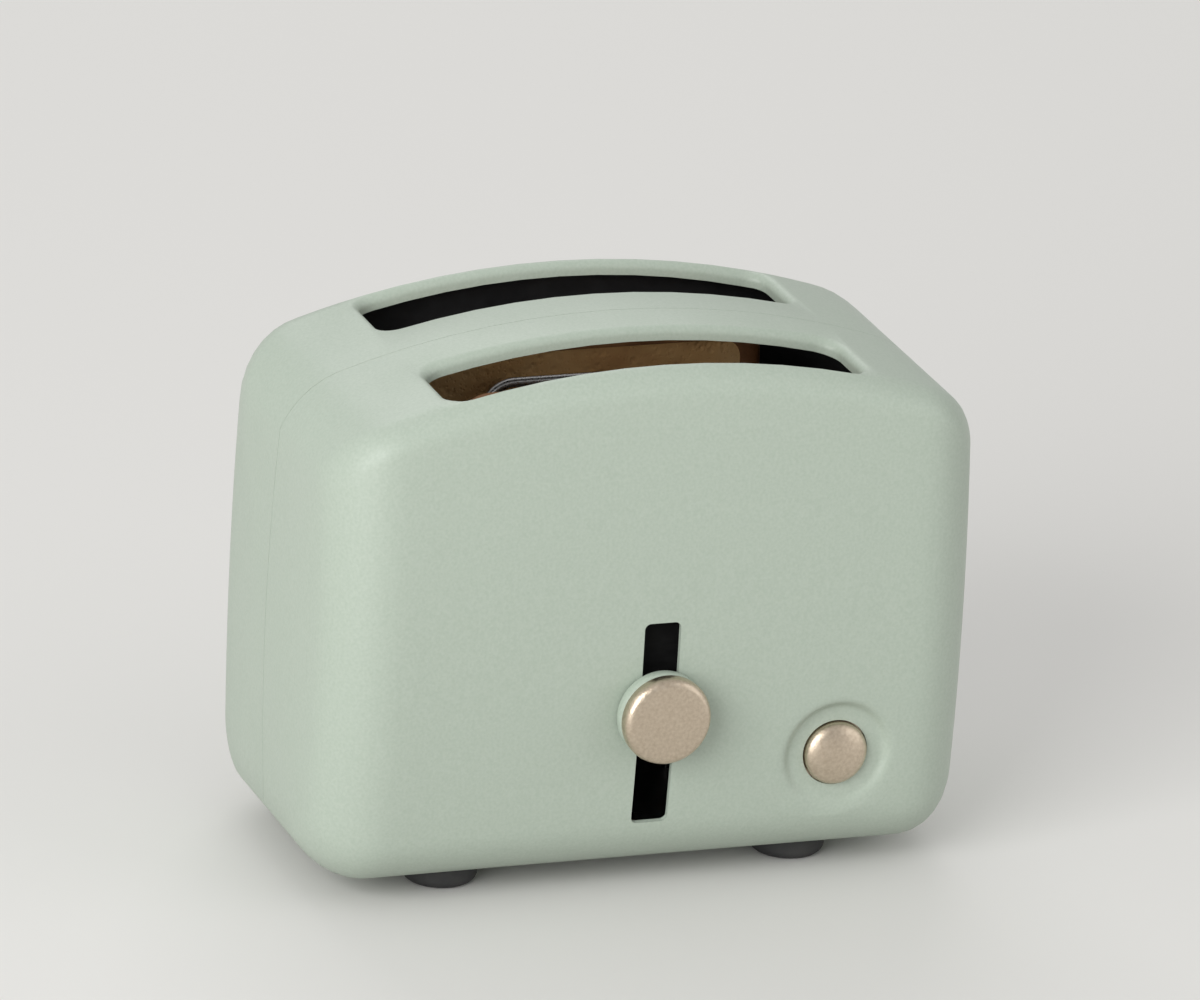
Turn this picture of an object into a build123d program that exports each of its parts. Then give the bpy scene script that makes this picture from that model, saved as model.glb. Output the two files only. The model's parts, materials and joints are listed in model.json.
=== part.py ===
from build123d import *
import os

# A doll's-house pop-up toaster of pressed tin, in millimetres. +Z is up and the front faces -Y.
# The origin is on the floor, under the middle of the footprint with the knob counted in.

# ---- driving sizes: housing ----
width = 64.0  # across the swell of the sides
depth = 36.0  # across the swell of the front and rear faces
body_height = 49.0  # underside of the housing to the crown of its arched top
wall = 0.5  # tin plate
arch_rise = 6.1  # crown above the shoulders
side_swell = 0.9  # how far each side bulges at mid height
face_swell = 1.5  # how far the front and rear faces bulge at mid height
shoulder_radius = 9.0  # top corners, seen from the front
bottom_corner_radius = 6.0  # bottom corners, seen from the front
edge_radius = 5.0  # rounding from the faces into sides, top and bottom
bread_slot_from_side = 12.0  # end of a slot to the widest point of the side
bread_slot_width = 8.8
bread_slot_pitch = 19.2  # centre to centre of the two slots
bread_slot_corner = 1.6
lip_depth = 1.3  # turned-in rim of a slot, from the housing's outer face
base_opening_length = 24.0
base_opening_width = 15.0
base_opening_corner = 2.0
band_width = 5.0  # strip behind the seam of the two shells
band_thickness = 0.4
band_foot_height = 9.0  # height above the underside at which the strip ends

# ---- driving sizes: lever ----
lever_slot_width = 3.5
lever_slot_height = 19.8
lever_slot_corner = 0.6
lever_slot_height_above_base = 15.2  # its middle
lever_rest_lift = 1.3  # the lever rests this far above the middle of its slot
shank_diameter = 2.5
shank_head_diameter = 3.8
shank_head_thickness = 0.5
collar_diameter = 8.3
collar_thickness = 1.5
collar_gap = 0.15  # between the collar and the foremost point of the face
knob_diameter = 8.4
knob_thickness = 1.5
knob_rounding = 0.7
knob_bore_depth = 0.9
slide_plate_width = 7.0
slide_plate_above_shank = 9.2
slide_plate_below_shank = 3.0
slide_plate_corner = 1.5
slide_plate_thickness = 0.5
slide_plate_gap = 0.4  # behind the deepest point of the wall that it passes

# ---- driving sizes: stop button ----
button_from_side = 14.05  # button's axis to the widest point of the side
button_height_above_base = 10.65
button_diameter = 6.0
button_dome_rise = 0.75
button_rim_height = 0.6  # straight side of the dome above the dish
button_flange_diameter = 7.4
button_flange_thickness = 0.5
button_stem_diameter = 1.6
button_travel = 0.8
button_stem_end = 0.3  # stem behind the cup at rest
dish_depth = 0.65
dish_floor_radius = 4.6
dish_wall_taper = 50.0  # degrees, from the button's axis
cup_wall = 0.4
cup_depth = 2.9
cup_flange_width = 0.7
spring_wire_diameter = 0.3
spring_turns = 3

# ---- driving sizes: base, feet and frame ----
base_plate_from_side = 7.5
base_plate_from_face = 6.5
base_plate_thickness = 0.8
base_plate_corner = 2.0
boss_diameter = 3.4
boss_height = 1.5
foot_height = 2.0
foot_diameter = 7.0
foot_rounding = 0.9
foot_from_side = 15.0  # foot's axis to the widest point of the side
foot_from_face = 9.5  # foot's axis to the foremost point of the face
screw_diameter = 1.6
screw_head_diameter = 3.0
screw_head_thickness = 0.7
screw_head_recess = 0.9  # depth of the pocket in the foot
screw_slot_width = 0.45
screw_slot_depth = 0.3
screw_end_above_boss = 0.4
rod_diameter = 2.0
rod_from_side = 11.0  # rod's axis to the widest point of the side
rods_below_crown = 10.0  # crown of the top to the shoulder under the brace
spigot_diameter = 1.3
rivet_head_diameter = 2.3
rivet_head_thickness = 0.45
brace_thickness = 0.8
brace_width = 5.0
guard_wire_diameter = 0.9
guard_leg_spacing = 20.0
guards_below_crown = 8.4  # crown of the top to the wire's axis
guard_bend_radius = 3.0

# ---- driving sizes: bread carriage and toast ----
carriage_thickness = 0.8
carriage_below_shank = 2.2  # top of the carriage plate under the shank's axis
carriage_arm_width = 8.0
rod_arm_width = 6.0
lever_tab_height = 5.4
lever_tab_thickness = 0.8
tray_length = 24.0
tray_sheet = 0.5
tray_lip_height = 2.0
tray_rivet_spacing = 5.0
rivet_diameter = 1.3
bush_diameter = 3.6
bush_flange_diameter = 5.0
bush_flange_thickness = 0.6
bush_above_plate = 4.0
bush_below_plate = 1.4
leaf_thickness = 0.25
leaf_width = 3.0
leaf_foot_length = 5.5
leaf_rise = 2.5  # from the bend to the point that bears on the rod
leaf_curl = 0.75
toast_width = 36.0
toast_waist_depth = 1.5  # how far each side is drawn in under the crown
toast_height = 30.0
toast_thickness = 4.6
toast_crown_height = 13.0
toast_crown_radius = 4.0
toast_corner_radius = 2.5
toast_waist_radius = 2.0
toast_rounding = 0.6

# ---- clearances ----
slide_clearance = 0.15  # shank to slot ends, button to its hole, each side
running_clearance = 0.05  # rod to bush
fixed_clearance = 0.03  # riveted, pressed and screwed pieces in their holes
touch_clearance = 0.02  # friction leaf to rod, spring to its seats
rest_gap = 0.05  # button's flange to the back of the dish
toast_clearance = 0.5  # toast to the lips of its tray, each side
tray_clearance = 0.5  # tray to whatever it passes

# ---- places worked out from the sizes ----
knob_reach = collar_gap + collar_thickness + knob_thickness
mid_y = knob_reach / 2
front_y = mid_y - depth / 2
z_bottom = foot_height
z_crown = z_bottom + body_height
z_middle = z_bottom + body_height / 2
z_shoulder = z_crown - arch_rise
shoulder_x = width / 2 - side_swell
arch_radius = (shoulder_x**2 + arch_rise**2) / (2 * arch_rise)
z_side_middle = (z_bottom + z_shoulder) / 2
side_radius = ((z_shoulder - z_side_middle) ** 2 + side_swell**2) / (2 * side_swell)
face_radius = ((body_height / 2) ** 2 + face_swell**2) / (2 * face_swell)
bread_slot_y = bread_slot_pitch / 2
bread_slot_length = width - 2 * bread_slot_from_side
z_lever_slot = z_bottom + lever_slot_height_above_base
z_shank = z_lever_slot + lever_rest_lift
lever_reach = lever_slot_height / 2 - shank_diameter / 2 - slide_clearance
lever_up = lever_reach - lever_rest_lift
lever_down = lever_reach + lever_rest_lift
z_floor = z_bottom + wall
z_base_top = z_floor + base_plate_thickness
base_plate_length = width - 2 * base_plate_from_side
base_plate_width = depth - 2 * base_plate_from_face
rod_spacing = width - 2 * rod_from_side
z_rod_top = z_crown - rods_below_crown
z_carriage_top = z_shank - carriage_below_shank
z_carriage = z_carriage_top - carriage_thickness
z_tray_top = z_carriage_top + tray_sheet
tray_width = toast_thickness + 2 * (toast_clearance + tray_sheet)
collar_y = front_y - collar_gap
knob_y = collar_y - collar_thickness
tab_y = mid_y - bread_slot_y - tray_width / 2 - tray_clearance - shank_head_thickness
button_x = width / 2 - button_from_side
z_button = z_bottom + button_height_above_base
sides = (-1, 1)
rod_places = [(side * rod_spacing / 2, mid_y) for side in sides]


def upright(y):
    """The plane at that Y, with X across and Z up, whose normal faces the front."""
    return Plane.XZ.offset(-y)


def face_y(z):
    """Y of the swelled front face at a height."""
    return front_y + face_radius - (face_radius**2 - (z - z_middle) ** 2) ** 0.5


dish_floor_y = face_y(z_button) + dish_depth
dish_back_y = dish_floor_y + wall
cup_back_y = dish_back_y + cup_depth
z_lever_low = z_shank - lever_down
wall_back_y = face_y(z_lever_low - slide_plate_below_shank) + wall


# ---- housing ----
def swelled(middle, half_span, swell_radius, inset):
    """Keeps what lies between two opposite swelled sides of a sketch, each inset."""
    for side in sides:
        centre = side * (half_span - swell_radius)
        # the circle's seam is turned away from the side that it makes
        with Locations(Location((middle[0] + centre, middle[1]), (0, 0, 90 + side * 90))):
            Circle(swell_radius - inset, mode=Mode.INTERSECT)


def housing_form(inset):
    """The housing's closed outer form, or the form that lies inset inside it."""
    with BuildPart() as form:
        with BuildSketch(upright(mid_y)) as front_view:
            with Locations((0, z_crown - arch_radius)):
                Circle(arch_radius - inset)
            with Locations((0, z_bottom + inset)):
                Rectangle(width, body_height, align=(Align.CENTER, Align.MIN), mode=Mode.INTERSECT)
            swelled((0, z_side_middle), width / 2, side_radius, inset)
            fillet(front_view.vertices().sort_by(Axis.Y)[:2], bottom_corner_radius - inset)
            fillet(front_view.vertices().sort_by(Axis.Y)[-2:], shoulder_radius - inset)
        extrude(amount=depth, both=True)
        with BuildSketch(Plane.YZ):
            with Locations((mid_y, z_middle)):
                Rectangle(depth, body_height - 2 * inset)
            swelled((mid_y, z_middle), depth / 2, face_radius, inset)
        extrude(amount=width, both=True, mode=Mode.INTERSECT)
        across = form.faces().sort_by(Axis.Y)
        fillet(across[0].edges() + across[-1].edges(), edge_radius - inset)
    return form.part


def foot_places():
    """X and Y of the four feet, front left first."""
    foot_x = width / 2 - foot_from_side
    foot_y = depth / 2 - foot_from_face
    return [(sx * foot_x, mid_y + sy * foot_y) for sy in sides for sx in sides]


outer_form = housing_form(0)
inner_form = housing_form(wall)
under_lips_form = housing_form(lip_depth)


def half_shell(side):
    """One half of the tin housing with its bread slot: side -1 is the front, 1 the rear."""
    slot_at = (0, mid_y + side * bread_slot_y)
    with BuildPart() as lip:
        with BuildSketch(Plane.XY.offset(z_shoulder)):
            with Locations(slot_at):
                RectangleRounded(bread_slot_length, bread_slot_width, bread_slot_corner)
            offset(amount=wall)
        extrude(amount=arch_rise)
        add(outer_form, mode=Mode.INTERSECT)
        add(under_lips_form, mode=Mode.SUBTRACT)
    with BuildPart() as shell:
        add(outer_form)
        add(inner_form, mode=Mode.SUBTRACT)
        split(bisect_by=upright(mid_y), keep=Keep.TOP if side < 0 else Keep.BOTTOM)
        add(lip.part)
        with BuildSketch(Plane.XY.offset(z_shoulder)):
            with Locations(slot_at):
                RectangleRounded(bread_slot_length, bread_slot_width, bread_slot_corner)
        extrude(amount=arch_rise, mode=Mode.SUBTRACT)
        with BuildSketch(Plane.XY.offset(z_bottom)):
            with Locations((0, mid_y)):
                RectangleRounded(base_opening_length, base_opening_width, base_opening_corner)
        extrude(amount=wall, mode=Mode.SUBTRACT)
        with BuildSketch(Plane.XY.offset(z_bottom)):
            with Locations(*[at for at in foot_places() if (at[1] - mid_y) * side > 0]):
                Circle(screw_diameter / 2 + fixed_clearance)
            with Locations(*rod_places):
                Circle(rivet_head_diameter / 2 + slide_clearance)
        extrude(amount=wall, mode=Mode.SUBTRACT)
    return shell.part


with BuildPart() as front_shell:
    add(half_shell(-1))
    # the slot that the lever travels in
    with BuildSketch(upright(front_y)):
        with Locations((0, z_lever_slot)):
            RectangleRounded(lever_slot_width, lever_slot_height, lever_slot_corner)
    extrude(amount=-(face_swell + 2 * wall), mode=Mode.SUBTRACT)
    # the pressed dish that the button stands in, with its hole
    with BuildSketch(upright(dish_back_y)):
        with Locations((button_x, z_button)):
            Circle(dish_floor_radius + dish_depth + wall)
    extrude(amount=wall)
    with BuildSketch(upright(dish_floor_y)):
        with Locations((button_x, z_button)):
            Circle(dish_floor_radius)
    extrude(amount=2 * dish_depth, taper=-dish_wall_taper, mode=Mode.SUBTRACT)
    with BuildSketch(upright(dish_back_y)):
        with Locations((button_x, z_button)):
            Circle(button_diameter / 2 + slide_clearance)
    extrude(amount=2 * wall, mode=Mode.SUBTRACT)
front_shell.part.label = "front_shell"

with BuildPart() as rear_shell:
    add(half_shell(1))
rear_shell.part.label = "rear_shell"

with BuildPart() as seam_band:
    add(inner_form)
    add(housing_form(wall + band_thickness), mode=Mode.SUBTRACT)
    with BuildSketch(Plane.XY.offset(z_bottom + band_foot_height)):
        with Locations((0, mid_y)):
            Rectangle(width, band_width)
    extrude(amount=body_height, mode=Mode.INTERSECT)
seam_band.part.label = "seam_band"

# ---- base plate, feet and screws ----
with BuildPart() as base_plate:
    with BuildSketch(Plane.XY.offset(z_floor)):
        with Locations((0, mid_y)):
            RectangleRounded(base_plate_length, base_plate_width, base_plate_corner)
    extrude(amount=base_plate_thickness)
    with BuildSketch(Plane.XY.offset(z_base_top)):
        with Locations(*foot_places()):
            Circle(boss_diameter / 2)
    extrude(amount=boss_height)
    with BuildSketch(Plane.XY.offset(z_floor)):
        with Locations(*foot_places()):
            Circle(screw_diameter / 2 + fixed_clearance)
    extrude(amount=base_plate_thickness + boss_height, mode=Mode.SUBTRACT)
    with BuildSketch(Plane.XY.offset(z_floor)):
        with Locations(*rod_places):
            Circle(spigot_diameter / 2 + fixed_clearance)
    extrude(amount=base_plate_thickness, mode=Mode.SUBTRACT)
base_plate.part.label = "base_plate"


def foot(name, x, y):
    """A rubber foot with a pocket for its screw's head."""
    with BuildPart() as piece:
        with BuildSketch(Plane.XY):
            with Locations((x, y)):
                Circle(foot_diameter / 2)
        extrude(amount=foot_height)
        fillet(piece.edges().group_by(Axis.Z)[0], foot_rounding)
        with BuildSketch(Plane.XY):
            with Locations((x, y)):
                Circle(screw_head_diameter / 2 + slide_clearance)
        extrude(amount=screw_head_recess, mode=Mode.SUBTRACT)
        with BuildSketch(Plane.XY):
            with Locations((x, y)):
                Circle(screw_diameter / 2 + fixed_clearance)
        extrude(amount=foot_height, mode=Mode.SUBTRACT)
    piece.part.label = name
    return piece.part


foot_names = ("foot_front_left", "foot_front_right", "foot_rear_left", "foot_rear_right")
feet = [foot(name, *place) for name, place in zip(foot_names, foot_places())]

with BuildPart() as foot_screws:
    head_z = screw_head_recess - screw_head_thickness
    with BuildSketch(Plane.XY.offset(head_z)):
        with Locations(*foot_places()):
            Circle(screw_head_diameter / 2)
    extrude(amount=screw_head_thickness)
    with BuildSketch(Plane.XY.offset(screw_head_recess)):
        with Locations(*foot_places()):
            Circle(screw_diameter / 2)
    extrude(amount=z_base_top + boss_height + screw_end_above_boss - screw_head_recess)
    with BuildSketch(Plane.XY.offset(head_z)):
        with Locations(*foot_places()):
            Rectangle(screw_head_diameter, screw_slot_width)
    extrude(amount=screw_slot_depth, mode=Mode.SUBTRACT)
foot_screws.part.label = "foot_screws"


# ---- frame that guides the bread carriage ----
def turned(name, plane, stations, bores=()):
    """A round piece on the plane's normal, from (start, end, radius) along it, less its bores."""
    with BuildPart() as piece:
        for mode, steps in ((Mode.ADD, stations), (Mode.SUBTRACT, bores)):
            for start, end, radius in steps:
                with BuildSketch(plane.offset(start)):
                    Circle(radius)
                extrude(amount=end - start, mode=mode)
    piece.part.label = name
    return piece.part


def guide_rod(name, side):
    """A rod with a riveted spigot through the base plate and another through the brace."""
    z_brace_top = z_rod_top + brace_thickness
    stations = [
        (z_floor - rivet_head_thickness, z_floor, rivet_head_diameter / 2),
        (z_floor, z_base_top, spigot_diameter / 2),
        (z_base_top, z_rod_top, rod_diameter / 2),
        (z_rod_top, z_brace_top, spigot_diameter / 2),
        (z_brace_top, z_brace_top + rivet_head_thickness, rivet_head_diameter / 2),
    ]
    return turned(name, Plane((side * rod_spacing / 2, mid_y, 0)), stations)


rods = [guide_rod("left_guide_rod", -1), guide_rod("right_guide_rod", 1)]

with BuildPart() as rod_brace:
    with BuildSketch(Plane.XY.offset(z_rod_top)):
        with Locations((0, mid_y)):
            SlotCenterToCenter(rod_spacing, brace_width)
        with Locations(*rod_places):
            Circle(spigot_diameter / 2 + fixed_clearance, mode=Mode.SUBTRACT)
    extrude(amount=brace_thickness)
rod_brace.part.label = "rod_brace"


def guard(name, side):
    """A bent wire that keeps a slice from leaning into the middle."""
    leg_x = guard_leg_spacing / 2
    z_top = z_crown - guards_below_crown
    y = mid_y + side * (bread_slot_y - tray_width / 2 - tray_clearance - guard_wire_diameter / 2)
    with BuildPart() as piece:
        with BuildLine(upright(y)):
            FilletPolyline(
                (-leg_x, z_base_top),
                (-leg_x, z_top),
                (leg_x, z_top),
                (leg_x, z_base_top),
                radius=guard_bend_radius,
            )
        with BuildSketch(Plane((-leg_x, y, z_base_top))):
            Circle(guard_wire_diameter / 2)
        sweep()
    piece.part.label = name
    return piece.part


guards = [guard("front_guard_wire", -1), guard("rear_guard_wire", 1)]

# ---- bread carriage ----
tray_rivet_places = [
    (sx * tray_rivet_spacing / 2, mid_y + sy * bread_slot_y) for sy in sides for sx in sides
]
leaf_start_x = -(rod_spacing / 2 - bush_flange_diameter / 2 - bush_flange_thickness / 2)
leaf_rivet_place = (leaf_start_x + leaf_foot_length / 2, mid_y)

with BuildPart() as carriage_plate:
    tab_front_y = tab_y - lever_tab_thickness
    arm_end_y = mid_y + bread_slot_y + tray_width / 2
    with BuildSketch(Plane.XY.offset(z_carriage)):
        with Locations((0, (tab_front_y + arm_end_y) / 2)):
            Rectangle(carriage_arm_width, arm_end_y - tab_front_y)
        with Locations((0, mid_y)):
            Rectangle(rod_spacing + bush_flange_diameter, rod_arm_width)
        with Locations(*rod_places):
            Circle(bush_diameter / 2 + fixed_clearance, mode=Mode.SUBTRACT)
        with Locations(*tray_rivet_places, leaf_rivet_place):
            Circle(rivet_diameter / 2 + fixed_clearance, mode=Mode.SUBTRACT)
    extrude(amount=carriage_thickness)
    with BuildSketch(upright(tab_y)):
        with Locations((0, z_carriage + lever_tab_height / 2)):
            Rectangle(carriage_arm_width, lever_tab_height)
        with Locations((0, z_shank)):
            Circle(shank_diameter / 2 + fixed_clearance, mode=Mode.SUBTRACT)
    extrude(amount=lever_tab_thickness)
carriage_plate.part.label = "carriage_plate"


def bread_tray(name, side):
    """A folded channel that a slice stands in."""
    y = mid_y + side * bread_slot_y
    with BuildPart() as piece:
        with BuildSketch(Plane.XY.offset(z_carriage_top)):
            with Locations((0, y)):
                Rectangle(tray_length, tray_width)
        extrude(amount=tray_sheet + tray_lip_height)
        with BuildSketch(Plane.XY.offset(z_tray_top)):
            with Locations((0, y)):
                Rectangle(tray_length, tray_width - 2 * tray_sheet)
        extrude(amount=tray_lip_height, mode=Mode.SUBTRACT)
        with BuildSketch(Plane.XY.offset(z_carriage_top)):
            with Locations(*[place for place in tray_rivet_places if (place[1] - mid_y) * side > 0]):
                Circle(rivet_diameter / 2 + fixed_clearance)
        extrude(amount=tray_sheet, mode=Mode.SUBTRACT)
    piece.part.label = name
    return piece.part


trays = [bread_tray("front_bread_tray", -1), bread_tray("rear_bread_tray", 1)]

with BuildPart() as carriage_rivets:
    with BuildSketch(Plane.XY.offset(z_carriage - rivet_head_thickness)):
        with Locations(*tray_rivet_places, leaf_rivet_place):
            Circle(rivet_head_diameter / 2)
    extrude(amount=rivet_head_thickness)
    with BuildSketch(Plane.XY.offset(z_carriage)):
        with Locations(*tray_rivet_places):
            Circle(rivet_diameter / 2)
    extrude(amount=z_tray_top - z_carriage)
    with BuildSketch(Plane.XY.offset(z_carriage)):
        with Locations(leaf_rivet_place):
            Circle(rivet_diameter / 2)
    extrude(amount=carriage_thickness + leaf_thickness)
    with BuildSketch(Plane.XY.offset(z_carriage_top + leaf_thickness)):
        with Locations(leaf_rivet_place):
            Circle(rivet_head_diameter / 2)
    extrude(amount=rivet_head_thickness)
carriage_rivets.part.label = "carriage_rivets"


def bush(name, side):
    """A flanged bush that runs on a guide rod."""
    z_ends = (z_carriage - bush_below_plate, z_carriage_top + bush_above_plate)
    z_flange = (z_carriage_top, z_carriage_top + bush_flange_thickness)
    return turned(
        name,
        Plane((side * rod_spacing / 2, mid_y, 0)),
        [(*z_ends, bush_diameter / 2), (*z_flange, bush_flange_diameter / 2)],
        [(*z_ends, rod_diameter / 2 + running_clearance)],
    )


bushes = [bush("left_bush", -1), bush("right_bush", 1)]

with BuildPart() as friction_spring:
    half_leaf = leaf_thickness / 2
    bend_z = z_carriage_top + bush_above_plate + half_leaf
    rod_side_x = -(rod_spacing / 2 - rod_diameter / 2 - touch_clearance - half_leaf)
    with BuildSketch(upright(mid_y)):
        with BuildLine():
            Polyline(
                (leaf_start_x + leaf_foot_length, z_carriage_top + half_leaf),
                (leaf_start_x, z_carriage_top + half_leaf),
                (leaf_start_x, bend_z),
                (rod_side_x, bend_z + leaf_rise),
                (rod_side_x + leaf_curl, bend_z + leaf_rise + leaf_curl),
            )
        trace(line_width=leaf_thickness)
    extrude(amount=leaf_width / 2, both=True)
    with BuildSketch(Plane.XY.offset(z_carriage_top)):
        with Locations(leaf_rivet_place):
            Circle(rivet_diameter / 2 + fixed_clearance)
    extrude(amount=leaf_thickness, mode=Mode.SUBTRACT)
friction_spring.part.label = "friction_spring"


# ---- lever ----
def front_axis(x, z):
    """A plane whose normal points out of the front, so that a distance along it is -Y."""
    return Plane((x, 0, z), x_dir=(1, 0, 0), z_dir=(0, -1, 0))


lever_axis = front_axis(0, z_shank)
shank_bore = shank_diameter / 2 + fixed_clearance
lever_shank = turned(
    "lever_shank",
    lever_axis,
    [
        (-tab_y - shank_head_thickness, -tab_y, shank_head_diameter / 2),
        (-tab_y, -knob_y + knob_bore_depth, shank_diameter / 2),
    ],
)

with BuildPart() as slide_plate:
    plate_height = slide_plate_above_shank + slide_plate_below_shank
    with BuildSketch(lever_axis.offset(-wall_back_y - slide_plate_gap)):
        with Locations((0, slide_plate_above_shank - plate_height / 2)):
            RectangleRounded(slide_plate_width, plate_height, slide_plate_corner)
        Circle(shank_bore, mode=Mode.SUBTRACT)
    extrude(amount=-slide_plate_thickness)
slide_plate.part.label = "slide_plate"

collar_ends = (-collar_y, -knob_y)
collar_washer = turned(
    "collar_washer",
    lever_axis,
    [(*collar_ends, collar_diameter / 2)],
    [(*collar_ends, shank_bore)],
)

with BuildPart() as lever_knob:
    with BuildSketch(lever_axis.offset(-knob_y)):
        Circle(knob_diameter / 2)
    extrude(amount=knob_thickness)
    fillet(lever_knob.edges().sort_by(Axis.Y)[0], knob_rounding)
    with BuildSketch(lever_axis.offset(-knob_y)):
        Circle(shank_bore)
    extrude(amount=knob_bore_depth, mode=Mode.SUBTRACT)
lever_knob.part.label = "lever_knob"

# ---- stop button ----
button_axis = front_axis(button_x, z_button)
flange_front_y = dish_back_y + rest_gap
flange_back_y = flange_front_y + button_flange_thickness
cup_bore = button_flange_diameter / 2 + slide_clearance

with BuildPart() as stop_button:
    rim_y = dish_floor_y - button_rim_height
    stem_end_y = cup_back_y + button_stem_end
    dome_radius = ((button_diameter / 2) ** 2 + button_dome_rise**2) / (2 * button_dome_rise)
    half_way = button_diameter / 4
    half_way_y = rim_y - button_dome_rise + dome_radius - (dome_radius**2 - half_way**2) ** 0.5
    with BuildSketch(Plane.YZ.offset(button_x)):
        with BuildLine():
            ThreePointArc(
                (rim_y - button_dome_rise, z_button),
                (half_way_y, z_button + half_way),
                (rim_y, z_button + button_diameter / 2),
            )
            Polyline(
                (rim_y, z_button + button_diameter / 2),
                (flange_front_y, z_button + button_diameter / 2),
                (flange_front_y, z_button + button_flange_diameter / 2),
                (flange_back_y, z_button + button_flange_diameter / 2),
                (flange_back_y, z_button + button_stem_diameter / 2),
                (stem_end_y, z_button + button_stem_diameter / 2),
                (stem_end_y, z_button),
                (rim_y - button_dome_rise, z_button),
            )
        make_face()
    revolve(axis=Axis((button_x, 0, z_button), (0, 1, 0)))
stop_button.part.label = "stop_button"

button_cup = turned(
    "button_cup",
    button_axis,
    [
        (-cup_back_y, -dish_back_y, cup_bore + cup_wall),
        (-dish_back_y - cup_wall, -dish_back_y, cup_bore + cup_wall + cup_flange_width),
    ],
    [
        (-cup_back_y + cup_wall, -dish_back_y, cup_bore),
        (-cup_back_y, -cup_back_y + cup_wall, button_stem_diameter / 2 + slide_clearance),
    ],
)

with BuildPart() as button_spring:
    coil_radius = (button_stem_diameter + button_flange_diameter) / 4
    wire_radius = spring_wire_diameter / 2
    coil_start_y = cup_back_y - cup_wall - wire_radius - touch_clearance
    coil_length = coil_start_y - flange_back_y - wire_radius - touch_clearance
    with BuildLine():
        coil = Helix(
            pitch=coil_length / spring_turns,
            height=coil_length,
            radius=coil_radius,
            center=(button_x, coil_start_y, z_button),
            direction=(0, -1, 0),
        )
    with BuildSketch(Plane(coil @ 0, z_dir=coil % 0)):
        Circle(wire_radius)
    sweep()
button_spring.part.label = "button_spring"


# ---- toast ----
def toast(name, side):
    """A slice of toy toast, standing in its tray."""
    toast_waist_width = toast_width - 2 * toast_waist_depth
    with BuildPart() as piece:
        with BuildSketch(upright(mid_y + side * bread_slot_y)) as slice_outline:
            with Locations((0, z_tray_top + toast_height / 2)):
                RectangleRounded(toast_waist_width, toast_height, toast_corner_radius)
            with Locations((0, z_tray_top + toast_height - toast_crown_height / 2)):
                RectangleRounded(toast_width, toast_crown_height, toast_crown_radius)
            at_waist = slice_outline.vertices().filter_by(
                lambda v: abs(abs(v.X) - toast_waist_width / 2) < touch_clearance
            )
            fillet(at_waist.sort_by(Axis.Y)[-2:], toast_waist_radius)
        extrude(amount=toast_thickness / 2, both=True)
        outer_faces = piece.faces().sort_by(Axis.Y)
        fillet(outer_faces[0].edges() + outer_faces[-1].edges(), toast_rounding)
    piece.part.label = name
    return piece.part


toasts = [toast("front_toast", -1), toast("rear_toast", 1)]

# ---- files ----
pieces = [
    front_shell.part,
    rear_shell.part,
    seam_band.part,
    base_plate.part,
    *feet,
    foot_screws.part,
    *rods,
    rod_brace.part,
    *guards,
    carriage_plate.part,
    *trays,
    carriage_rivets.part,
    *bushes,
    friction_spring.part,
    lever_shank,
    slide_plate.part,
    collar_washer,
    lever_knob.part,
    stop_button.part,
    button_cup,
    button_spring.part,
    *toasts,
]
os.makedirs("parts", exist_ok=True)
for piece in pieces:
    export_step(piece, f"parts/{piece.label}.step")
lever_ends = f"lever {-lever_down:.2f} to {lever_up:.2f} mm"
print(f"{lever_ends}, button 0 to {button_travel:.2f} mm, {len(pieces)} nodes")
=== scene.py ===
import json
from math import cos, pi, radians, sin, sqrt, tan

import bmesh
import bpy
from mathutils import Matrix, Vector, noise


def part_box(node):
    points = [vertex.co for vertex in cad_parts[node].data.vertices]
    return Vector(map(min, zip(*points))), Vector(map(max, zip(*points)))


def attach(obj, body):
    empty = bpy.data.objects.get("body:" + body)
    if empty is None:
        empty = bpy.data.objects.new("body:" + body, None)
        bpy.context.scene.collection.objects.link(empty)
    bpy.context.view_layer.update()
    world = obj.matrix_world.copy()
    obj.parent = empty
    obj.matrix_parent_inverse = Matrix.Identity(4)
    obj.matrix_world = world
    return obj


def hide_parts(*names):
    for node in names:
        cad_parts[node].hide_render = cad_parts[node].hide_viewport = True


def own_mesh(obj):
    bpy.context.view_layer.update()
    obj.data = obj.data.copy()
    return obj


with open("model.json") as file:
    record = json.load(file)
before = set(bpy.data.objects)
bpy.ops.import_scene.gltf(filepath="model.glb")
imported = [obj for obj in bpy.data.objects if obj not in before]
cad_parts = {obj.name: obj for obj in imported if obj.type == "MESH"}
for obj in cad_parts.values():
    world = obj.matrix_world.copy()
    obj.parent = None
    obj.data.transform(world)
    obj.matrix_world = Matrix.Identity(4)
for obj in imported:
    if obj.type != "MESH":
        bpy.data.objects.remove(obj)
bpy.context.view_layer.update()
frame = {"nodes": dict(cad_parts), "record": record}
nodes = frame["nodes"]
MM = 0.001
NEAR = 0.1 * MM
ALONG = 0.9  # the least cosine at which an edge or a normal runs along an axis

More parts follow.
